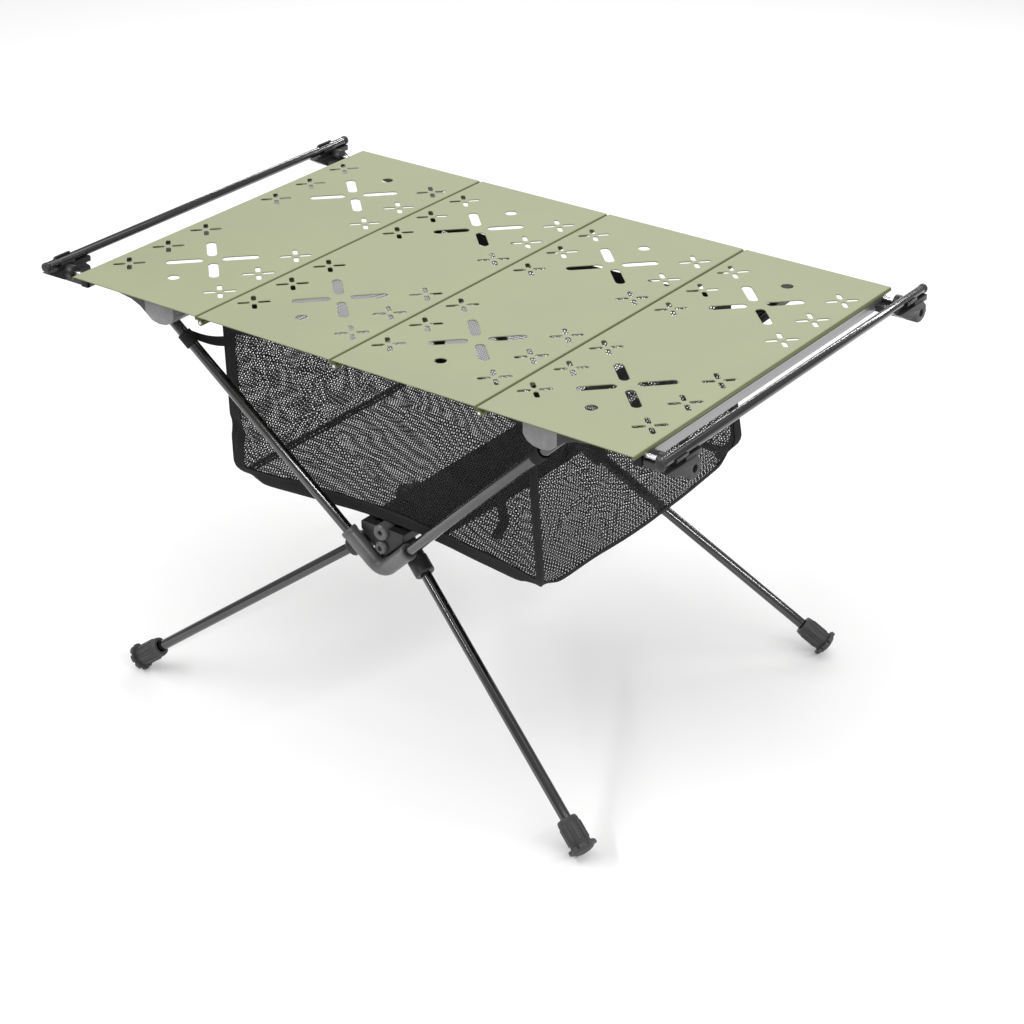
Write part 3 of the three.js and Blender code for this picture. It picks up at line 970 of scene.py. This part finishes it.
class CAMPTABLE_OT_hubs(Operator):
    """Builds the two hubs, each an arm yoke, a leg yoke with its boss, and a screw"""

    bl_idname = "camptable.hubs"
    bl_label = "Hubs"

    def execute(self, context):
        for row, sign in ROW_SIGN.items():
            for kind in SLEEVES:
                self.yoke(row, kind, context.scene.camp_poles.radius)
            self.boss(row, sign)
            self.screw(row, sign)
        return {"FINISHED"}

    def yoke(self, row, kind, pole_radius):
        """A bent sleeve along both poles, with mouth collars and its part of the hub."""
        node = f"hub_{kind}_yoke_{row}"
        sleeve = SLEEVES[kind]
        joint = f"{kind}_slide_{row}_left"
        axes = [JOINT_AXIS[joint], JOINT_AXIS[f"{kind}_slide_{row}_right"]]
        start, _ = pole_line(f"{kind}_{row}_left", joint, pole_radius)
        vertex = at_middle(start, axes[0])
        tangent = ELBOW * math.tan(math.acos(max(-1, min(1, -axes[0].dot(axes[1])))) / 2)
        first, last = (vertex + axis * tangent for axis in axes)
        points = [vertex + axes[0] * sleeve["length"]]
        for i in range(ELBOW_STEPS + 1):
            t = i / ELBOW_STEPS
            points.append(first * (1 - t) ** 2 + vertex * (2 * t * (1 - t)) + last * t**2)
        points.append(vertex + axes[1] * sleeve["length"])
        bm = sweep(points, sleeve["radius"], node)
        for axis in axes:
            self.collar(bm, vertex + axis * sleeve["length"], axis, sleeve, pole_radius)
        if kind == "arm":
            self.box(bm, ROW_SIGN[row], ARM_TAIL, 0.8 * MM)
        else:
            self.box(bm, ROW_SIGN[row], LEG_BLOCK, 1.6 * MM)
            self.pad(bm, ROW_SIGN[row])
        stand_in(bm, node, 32)

    def collar(self, bm, mouth, axis, sleeve, pole_radius):
        """A thicker ring at the mouth of a sleeve, with a step down to the pole."""
        depth, outer = sleeve["collar"], sleeve["radius"]
        inner, wide = outer - 1 * MM, outer + sleeve["rise"]
        bore = pole_radius + 0.35 * MM
        profile = [
            (inner, -depth), (outer, -depth), (wide, -depth + 1.2 * MM), (wide, -1.0 * MM),
            (wide - 0.9 * MM, 0.2 * MM), (bore + 0.7 * MM, 0.2 * MM), (bore, -0.6 * MM),
            (bore, -2.5 * MM), (inner, -2.5 * MM),
        ]
        ring = bmesh.new()
        turned(ring, profile, Matrix.Translation(mouth) @ axis_turn(axis), 40)
        mesh = bpy.data.meshes.new("collar")
        ring.to_mesh(mesh)
        ring.free()
        bm.from_mesh(mesh)
        bpy.data.meshes.remove(mesh)

    def box(self, bm, sign, shape, offset):
        """A block of the hub with eased edges."""
        x, y, z = shape["middle"]
        ease(bm, edges_of(block(bm, (x, sign * y, z), shape["size"])), offset)

    def pad(self, bm, sign):
        """The wedge between the arms: flat top, sides parallel to the arms."""
        near, far = (sign * y for y in PAD_Y)
        verts = [bm.verts.new((x * MM, near, z * MM)) for x, z in PAD_PROFILE]
        made = bmesh.ops.extrude_face_region(bm, geom=[bm.faces.new(verts)])
        moved = new_verts(made)
        bmesh.ops.translate(bm, verts=moved, vec=(0, far - near, 0))
        ease(bm, edges_of([*verts, *moved]), 0.9 * MM)

    def boss(self, row, sign):
        """The round boss above the screw, with a hole through it."""
        profile = [
            (2.3 * MM, 0.4 * MM), (2.9 * MM, 0), (6.3 * MM, 0), (7.4 * MM, 1.0 * MM),
            (7.5 * MM, 28 * MM), (2.3 * MM, 28 * MM),
        ]
        facing = axis_turn(Vector((0, -sign, 0)))
        bm = bmesh.new()
        turned(bm, profile, Matrix.Translation((0, sign * BOSS["y"], BOSS["z"])) @ facing, 40)
        grow(bm, f"hub_boss_{row}", BODY_OF[f"hub_leg_yoke_{row}"], "grey_plastic")

    def screw(self, row, sign):
        """A low domed screw head with a round recess."""
        profile = [
            (0, 1.4 * MM), (2.3 * MM, 1.4 * MM), (2.6 * MM, 3.9 * MM), (4.2 * MM, 3.8 * MM),
            (5.6 * MM, 3.0 * MM), (6.2 * MM, 1.8 * MM), (6.2 * MM, 0), (2.5 * MM, 0),
            (2.5 * MM, -12 * MM), (0, -12 * MM),
        ]
        facing = axis_turn(Vector((0, sign, 0)))
        bm = bmesh.new()
        turned(bm, profile, Matrix.Translation((0, sign * SCREW["y"], SCREW["z"])) @ facing, 36)
        stand_in(bm, f"hub_screw_{row}")


class CAMPTABLE_OT_brackets(Operator):
    """Builds the four brackets that take the arm tips"""

    bl_idname = "camptable.brackets"
    bl_label = "Arm brackets"

    def execute(self, context):
        for row, side in CORNERS:
            bracket = softened(f"arm_bracket_{row}_{side}", 1.1 * MM)
            bracket.data.materials[0] = MATERIALS["bracket"]
        return {"FINISHED"}


# ---------------------------------------------------------------- bag


# A crease is a line of (along, drop): along runs from -1 to 1, drop from rim to bottom.
FRONT_CREASES = (
    ((-0.98, 0.66), (-0.88, 0.82), (-0.57, 0.93)),
    ((-0.33, 0.46), (0.01, 0.28), (0.39, 0.22), (0.66, 0.3)),
    ((-0.53, 0.3), (-0.34, 0.62), (-0.15, 0.78), (0.2, 0.86)),
    ((-0.78, 0.16), (-0.52, 0.22), (-0.32, 0.16)),
    ((0.78, 0.4), (0.88, 0.62), (0.84, 0.86)),
)
RIGHT_CREASES = (
    ((-0.7, 0.3), (-0.5, 0.62), (-0.36, 0.86)),
    ((0.1, 0.62), (-0.15, 0.8), (-0.4, 0.9)),
    ((0.75, 0.35), (0.6, 0.7), (0.72, 0.9)),
)
CREASE_WIDTH = 5 * MM
CREASE_DEPTH = 4.5 * MM
CORNER_TAPES = {
    "front_left": 11 * MM,
    "front_right": 5 * MM,
    "back_right": 8 * MM,
    "back_left": 8 * MM,
}
HEM_SHARE = 0.28
HEM_FADE = 0.12
STRIP_X = (-18 * MM, 57 * MM)
TIE_PATH = [Vector(point) * MM for point in ((27, -30), (56, -50), (79, -77), (90, -105))]
TIE_WIDTH = 9 * MM
TIE_LENGTH = 90 * MM
LOOP_ALONG = 245.7 * MM
LOOP_WIDTH = 13 * MM
LOOP_TURN = 1.86 * math.pi
LOOP_OPENING = 0.07 * math.pi
LOOP_SHARE = 0.62
# How far the bottom corners hang out of square, in millimetres.
CORNER_FLARE = {
    (False, False): (0, 0, 0),
    (True, False): (12, 0, -6),
    (True, True): (12, 16, 0),
    (False, True): (-3, 6, 0),
}


class BagShape:
    """The sagging shape of the bag: side walls and bottom as one surface."""

    middle_y = 137 * MM
    corner_radius = 17 * MM

    def __init__(self, sag):
        low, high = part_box("storage_bag")
        self.floor = low.z
        self.half_x = high.x
        self.corner_y = high.y
        self.height = high.z - low.z
        self.around = 4 * (self.half_x + self.corner_y)
        self.sag = sag

    def plan(self, a, b, drop):
        """Plan position of the square's point (a, b), each from -1 to 1, at a drop from 0 to 1."""
        front_bow = self.middle_y + (self.corner_y - self.middle_y) * abs(a) ** 2.6
        side_bow = self.half_x - 3 * MM + 6 * MM * (1 - b * b)
        spot = Vector((a * side_bow, b * front_bow, 0))
        corner = abs(a * b) ** 3 * drop**1.4
        flare = CORNER_FLARE[(a > 0, b > 0)]
        return spot + Vector(flare) * corner * MM

    def rounding(self, a, b, rise):
        """Pull towards the inside near the bottom corners."""
        radius = self.corner_radius
        below = max(0.0, radius - rise)
        pull = radius - math.sqrt(max(0.0, radius**2 - below**2))
        near = math.exp(-(((1 - abs(a)) * self.half_x / radius) ** 2))
        near *= math.exp(-(((1 - abs(b)) * self.corner_y / radius) ** 2))
        return Vector((-math.copysign(pull * near, a), -math.copysign(pull * near, b), 0))

    def floor_drop(self, a, b):
        """How far the bottom hangs: nothing over the crossbar, most beside it."""
        away = min(1.0, max(0.0, (abs(a) - 0.08) / 0.5))
        away = away * away * (3 - 2 * away)
        pillow = 0.3 + 0.7 * (1 - b * b)
        ripple = noise.noise(Vector((a * 3.1, b * 2.6, 7.3))) * 1.8 * MM * away
        return away * pillow * self.sag + ripple

    def folds(self, a, b, drop):
        """Outward push of the cloth's soft folds on a wall; drop runs 0 at rim to 1 at bottom."""
        on_front = abs(b) > abs(a)
        along = a if on_front else b
        seed = 3.7 * (2 if b > 0 else 1) if on_front else 9.1 * (2 if a > 0 else 1)
        keep = (1 - abs(along) ** 6) * math.sin(math.pi * min(1, drop * 0.94 + 0.06)) ** 0.7
        broad = noise.noise(Vector((along * 1.9 + seed, drop * 1.6, seed)))
        crease = noise.noise(Vector((along * 2.4 + drop * 2.8, drop * 4.6 - along * 1.1, seed + 5)))
        sharp = 1 - abs(crease) * 2.6
        push = broad * 9 * MM - 1.5 * MM + max(0.0, sharp) ** 3 * 4 * MM
        bulge = 1.2 * MM if on_front else 9 * MM
        belly = bulge * (1 - along * along) * drop * (1.6 - drop)
        return keep * push + belly

    def creases(self, a, b, drop):
        """Inward grooves where the front and right walls have been folded."""
        if b <= -0.999:
            lines, along = FRONT_CREASES, a
        elif a >= 0.999:
            lines, along = RIGHT_CREASES, b
        else:
            return 0.0
        spot = Vector((along * self.half_x, drop * self.height))
        depth = 0.0
        for line in lines:
            points = [Vector((x * self.half_x, d * self.height)) for x, d in line]
            away = min(distance_to(spot, *pair) for pair in zip(points, points[1:]))
            depth += math.exp(-((away / CREASE_WIDTH) ** 2))
        return -min(depth, 1.2) * CREASE_DEPTH

    def wall(self, turn, drop, out=0.0):
        """Point on the walls. turn runs 0 to 1 round the bag, drop 0 at the rim to 1 below."""
        a, b = square_point(turn)
        spot = self.plan(a, b, drop)
        rise = (1 - drop) * self.height
        spot += self.rounding(a, b, rise)
        normal = wall_normal(turn)
        push = self.folds(a, b, drop) + self.creases(a, b, drop) * (1 - drop**8)
        spot += normal * (push - 1.5 * MM * drop + out)
        lip = self.floor_drop(a, b) * drop**3
        spot.z += self.floor + rise - lip
        return spot

    def bottom(self, a, b, out=0.0):
        """Point on the bottom, matching the walls along its edge; out is measured downwards."""
        reach = max(abs(a), abs(b))
        spot = self.plan(a, b, 1) + self.rounding(a, b, 0) * reach**8
        edge = reach**10
        if reach > 1e-6:
            edge_a, edge_b = a / reach, b / reach
            normal = edge_normal(edge_a, edge_b)
            spot += normal * (self.folds(edge_a, edge_b, 1) - 1.5 * MM) * edge
        spot.z += self.floor - self.floor_drop(a, b) - out
        return spot


def square_point(turn):
    """Point on the edge of the square from -1 to 1, at a turn from 0 to 1."""
    quarter, part = divmod((turn % 1.0) * 4, 1)
    part = part * 2 - 1
    return [(part, -1), (1, part), (-part, 1), (-1, -part)][int(quarter) % 4]


def distance_to(spot, start, end):
    """Distance from spot to the straight line between start and end."""
    line = end - start
    share = max(0.0, min(1.0, (spot - start).dot(line) / line.length_squared))
    return (spot - start - line * share).length


def edge_normal(a, b):
    """Outward direction on a wall, turned smoothly at the corners."""
    weight_x = max(0.0, abs(a) - 0.94) / 0.06
    weight_y = max(0.0, abs(b) - 0.94) / 0.06
    return Vector((math.copysign(weight_x, a), math.copysign(weight_y, b), 0)).normalized()


def wall_normal(turn):
    return edge_normal(*square_point(turn))


class CAMPTABLE_OT_bag(Operator):
    """Builds the mesh storage bag with its tapes, straps and loops"""

    bl_idname = "camptable.bag"
    bl_label = "Storage bag"

    def execute(self, context):
        settings = context.scene.camp_bag
        shape = BagShape(settings.sag)
        cloth = self.cloth(shape)
        tapes = [
            *self.corner_tapes(shape),
            *self.ring_tapes(shape, settings.tape),
            self.floor_strip(shape),
            self.tie(shape),
        ]
        for row, side in CORNERS:
            self.loop(shape, row, side, context.scene.camp_poles.radius)
        return {"FINISHED"}

    def cloth(self, shape):
        """Walls and bottom as one sheet."""
        cells = 60

        def wall(s, t):
            return shape.wall(s, 1 - t)

        def wall_uv(s, t):
            return (s * shape.around, t * shape.height)

        def floor(s, t):
            return shape.bottom(2 * s - 1, 2 * t - 1)

        def floor_uv(s, t):
            return (s * 2 * shape.half_x, t * 2 * shape.corner_y)

        bm = bmesh.new()
        cloth_patch(bm, cells * 4, 44, wall, wall_uv)
        cloth_patch(bm, cells, cells, floor, floor_uv)
        bmesh.ops.remove_doubles(bm, verts=bm.verts, dist=0.4 * MM)
        return grow(
            bm, "bag_mesh_cloth", BODY_OF["storage_bag"], "bag_mesh", ["storage_bag"], 80
        )

    def ribbon(self, name, cells, surface, length, width, thickness=0.7 * MM):
        """A thin tape over surface(s, t): s runs along it and t across it."""
        bm = bmesh.new()
        cloth_patch(bm, *cells, surface, lambda s, t: ((t - 0.5) * width, s * length))
        bmesh.ops.recalc_face_normals(bm, faces=bm.faces)
        piece = grow(bm, name, BODY_OF["storage_bag"], "bag_tape", (), 60, False)
        thicken(piece, thickness)
        return piece

    def corner_tapes(self, shape):
        """One tape down each upright corner, folded round it."""
        made = []
        for corner, (name, width) in enumerate(CORNER_TAPES.items()):

            def surface(s, t, corner=corner, half=width / shape.around):
                return shape.wall(corner / 4 + (2 * t - 1) * half, s, 0.7 * MM)

            made.append(
                self.ribbon(f"bag_tape_{name}", (40, 8), surface, shape.height, width * 2)
            )
        return made

    def ring_tapes(self, shape, tape):
        """Tapes round the rim and round the bottom edge."""

        def rim(s, t):
            return shape.wall(s, (1 - t) * tape / shape.height, 0.75 * MM)

        def hem(s, t):
            on_front = max(0.0, 1 - (square_point(s)[1] + 1) / HEM_FADE)
            width = (HEM_SHARE + (1 - HEM_SHARE) * on_front) * tape
            return shape.wall(s, 1 - t * width / shape.height, 0.8 * MM)

        def under(s, t):
            a, b = square_point(s)
            inset = 1 - t * 0.016
            return shape.bottom(a * inset, b * inset, 0.8 * MM)

        return [
            self.ribbon(f"bag_tape_{name}", (240, 5), surface, shape.around, tape)
            for name, surface in (("rim", rim), ("hem", hem), ("hem_under", under))
        ]

    def floor_strip(self, shape):
        """The solid strip across the bottom that lies over the crossbar."""
        start, end = STRIP_X

        def surface(s, t):
            x = start + (end - start) * t
            return shape.bottom(x / shape.half_x, (2 * s - 1) * 0.995, -0.9 * MM)

        length = 2 * shape.corner_y
        return self.ribbon(
            "bag_floor_strip", (60, 14), surface, length, end - start, 0.6 * MM
        )

    def tie(self, shape):
        """A short strap sewn to the bottom."""

        def surface(s, t):
            place = s * (len(TIE_PATH) - 1)
            i = min(int(place), len(TIE_PATH) - 2)
            along = (TIE_PATH[i + 1] - TIE_PATH[i]).normalized()
            spot = TIE_PATH[i].lerp(TIE_PATH[i + 1], place - i)
            spot += Vector((-along.y, along.x)) * (t - 0.5) * TIE_WIDTH
            point = shape.bottom(spot.x / shape.half_x, spot.y / shape.corner_y)
            point.z += (1.2 + 2.2 * math.sin(math.pi * s)) * MM
            return point

        return self.ribbon("bag_tie", (30, 3), surface, TIE_LENGTH, TIE_WIDTH)

    def loop(self, shape, row, side, pole_radius):
        """A strap round the arm, its tail sewn to the bag's corner."""
        node = f"bag_loop_{row}_{side}"
        joint = f"arm_slide_{row}_{side}"
        start, _ = pole_line(f"arm_{row}_{side}", joint, pole_radius)
        axis = JOINT_AXIS[joint]
        centre = start + axis * LOOP_ALONG
        inward = Vector((0, -ROW_SIGN[row], 0))
        inward = (inward - axis * inward.dot(axis)).normalized()
        across = axis.cross(inward)
        radius = pole_radius + 1.1 * MM
        corner = shape.wall(list(CORNER_TAPES).index(f"{row}_{side}") / 4, 0.12)
        anchor = corner - Vector((SIDE_SIGN[side] * 9 * MM, ROW_SIGN[row] * 1 * MM, 0))

        def round_arm(turn):
            return centre + (inward * math.cos(turn) + across * math.sin(turn)) * radius

        def surface(s, t):
            slide = axis * (t - 0.5) * LOOP_WIDTH
            if s < LOOP_SHARE:
                return round_arm(s / LOOP_SHARE * LOOP_TURN + LOOP_OPENING) + slide
            tail = (s - LOOP_SHARE) / (1 - LOOP_SHARE)
            spot = round_arm(LOOP_TURN + LOOP_OPENING).lerp(anchor, tail)
            drape = Vector((0, 0, -3 * MM * math.sin(math.pi * tail)))
            return spot + slide * (1 - 0.2 * tail) + drape

        bm = bmesh.new()
        cloth_patch(bm, 46, 4, surface, lambda s, t: ((t - 0.5) * LOOP_WIDTH, s * 0.06))
        piece = grow(bm, f"{node}_strap", BODY_OF[node], SLOT_OF[node], [node], 60)
        thicken(piece, 0.8 * MM)


# ---------------------------------------------------------------- stage


LAMP_AIM = Vector((0, 0, 0.25))
LAMPS = {
    "key_strip": {"place": (-1.5, -1.3, 1.9), "size": (3.0, 0.05), "power": 30},
    "right_strip": {"place": (1.9, -0.5, 1.7), "size": (3.0, 0.05), "power": 26},
    "back_strip": {"place": (-0.6, 2.2, 1.5), "size": (3.0, 0.05), "power": 18},
    "overhead": {"place": (0.2, 0.1, 2.6), "size": (2.4, 2.4), "power": 23},
}
CAMERA = {
    "place": Vector((1.1737, -1.5181, 1.2010)),
    "aim": Vector((0.04675, -0.01594, 0.18275)),
    "lens": 83.02,
    "roll": -0.0086,
}


class CAMPTABLE_OT_stage(Operator):
    """Builds the pale floor, the soft lights and the camera"""

    bl_idname = "camptable.stage"
    bl_label = "Stage"

    def execute(self, context):
        self.floor()
        self.lights(context.scene)
        self.camera(context.scene)
        return {"FINISHED"}

    def floor(self):
        bm = bmesh.new()
        bmesh.ops.create_grid(bm, x_segments=2, y_segments=2, size=25)
        mesh = bpy.data.meshes.new("floor")
        bm.to_mesh(mesh)
        bm.free()
        floor = bpy.data.objects.new("floor", mesh)
        bpy.context.scene.collection.objects.link(floor)
        finish = Finish(
            "pale_floor",
            Roughness=0.9,
            Specular_IOR_Level=0.1,
            Emission_Color=(1, 1, 1),
            Emission_Strength=0.12,
        )
        cloud = finish.grain(finish.place(), 2, 2)
        finish.feed(Base_Color=finish.blend(cloud, (0.9, 0.9, 0.9), (0.93, 0.93, 0.93)))
        mesh.materials.append(finish.material)

    def lights(self, scene):
        world = bpy.data.worlds.new("studio")
        world.use_nodes = True
        background = world.node_tree.nodes["Background"]
        background.inputs["Color"].default_value = (1, 1, 1, 1)
        background.inputs["Strength"].default_value = 0.42
        scene.world = world
        scene.view_settings.view_transform = "Standard"
        for name, lamp in LAMPS.items():
            light = bpy.data.lights.new(name, "AREA")
            light.shape = "RECTANGLE"
            light.size, light.size_y = lamp["size"]
            light.energy = lamp["power"]
            holder = bpy.data.objects.new(name, light)
            scene.collection.objects.link(holder)
            holder.location = lamp["place"]
            aim = LAMP_AIM - Vector(lamp["place"])
            holder.rotation_euler = aim.to_track_quat("-Z", "Y").to_euler()

    def camera(self, scene):
        lens = bpy.data.cameras.new("camera")
        lens.lens = CAMERA["lens"]
        lens.sensor_width = 36
        lens.clip_end = 30
        holder = bpy.data.objects.new("camera", lens)
        scene.collection.objects.link(holder)
        turn = (CAMERA["aim"] - CAMERA["place"]).to_track_quat("-Z", "Y").to_matrix().to_4x4()
        roll = Matrix.Rotation(CAMERA["roll"], 4, "Z")
        holder.matrix_world = Matrix.Translation(CAMERA["place"]) @ turn @ roll
        scene.camera = holder


class CAMPTABLE_PT_panel(Panel):
    """Lists the sizes, the colours and the builders in the sidebar"""

    bl_label = "Camp Table"
    bl_idname = "CAMPTABLE_PT_panel"
    bl_space_type = "VIEW_3D"
    bl_region_type = "UI"
    bl_category = "Camp Table"

    def draw(self, context):
        layout = self.layout
        for name in GROUPS:
            group = getattr(context.scene, name)
            box = layout.box()
            for key in group.__annotations__:
                box.prop(group, key)
        for operator in OPERATORS:
            layout.operator(operator.bl_idname)


OPERATORS = (
    CAMPTABLE_OT_stage,
    CAMPTABLE_OT_top,
    CAMPTABLE_OT_ends,
    CAMPTABLE_OT_poles,
    CAMPTABLE_OT_feet,
    CAMPTABLE_OT_hubs,
    CAMPTABLE_OT_brackets,
    CAMPTABLE_OT_bag,
)
GROUPS = {
    "camp_top": TopSettings,
    "camp_poles": PoleSettings,
    "camp_feet": FootSettings,
    "camp_bag": BagSettings,
}


def register():
    for name, group in GROUPS.items():
        bpy.utils.register_class(group)
        setattr(bpy.types.Scene, name, PointerProperty(type=group))
    for operator in OPERATORS:
        bpy.utils.register_class(operator)
    bpy.utils.register_class(CAMPTABLE_PT_panel)


def unregister():
    bpy.utils.unregister_class(CAMPTABLE_PT_panel)
    for operator in reversed(OPERATORS):
        bpy.utils.unregister_class(operator)
    for name, group in reversed(GROUPS.items()):
        delattr(bpy.types.Scene, name)
        bpy.utils.unregister_class(group)


def fill_materials(scene):
    """One material for each of the record's slots."""
    MATERIALS.update(
        top_sheet=powder_coat(tuple(scene.camp_top.colour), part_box("panel_1")[1].z),
        bright_steel=bright_steel(),
        end_bar=brushed_bar(BAR_COLOUR),
        pole=anodised_tube(tuple(scene.camp_poles.colour)),
        dark_plastic=moulded_plastic("dark_plastic", PLASTIC_COLOUR, 0.38),
        grey_plastic=moulded_plastic("grey_plastic", GREY_COLOUR, 0.3),
        bracket=moulded_plastic("bracket", tone(GREY_COLOUR, 2.2), 0.34, wing_shade_start=WING_SHADE_START),
        foot_rubber=moulded_plastic("foot_rubber", RUBBER_COLOUR, 0.5, grain=1300),
        bag_mesh=mesh_cloth(tuple(scene.camp_bag.colour), scene.camp_bag.hole_pitch),
        bag_tape=woven_tape(tone(scene.camp_bag.colour, 0.9), scene.camp_bag.tape),
    )


def main():
    register()
    fill_materials(bpy.context.scene)
    for operator in OPERATORS:
        group, name = operator.bl_idname.split(".")
        getattr(getattr(bpy.ops, group), name)()


if __name__ == "__main__":
    main()
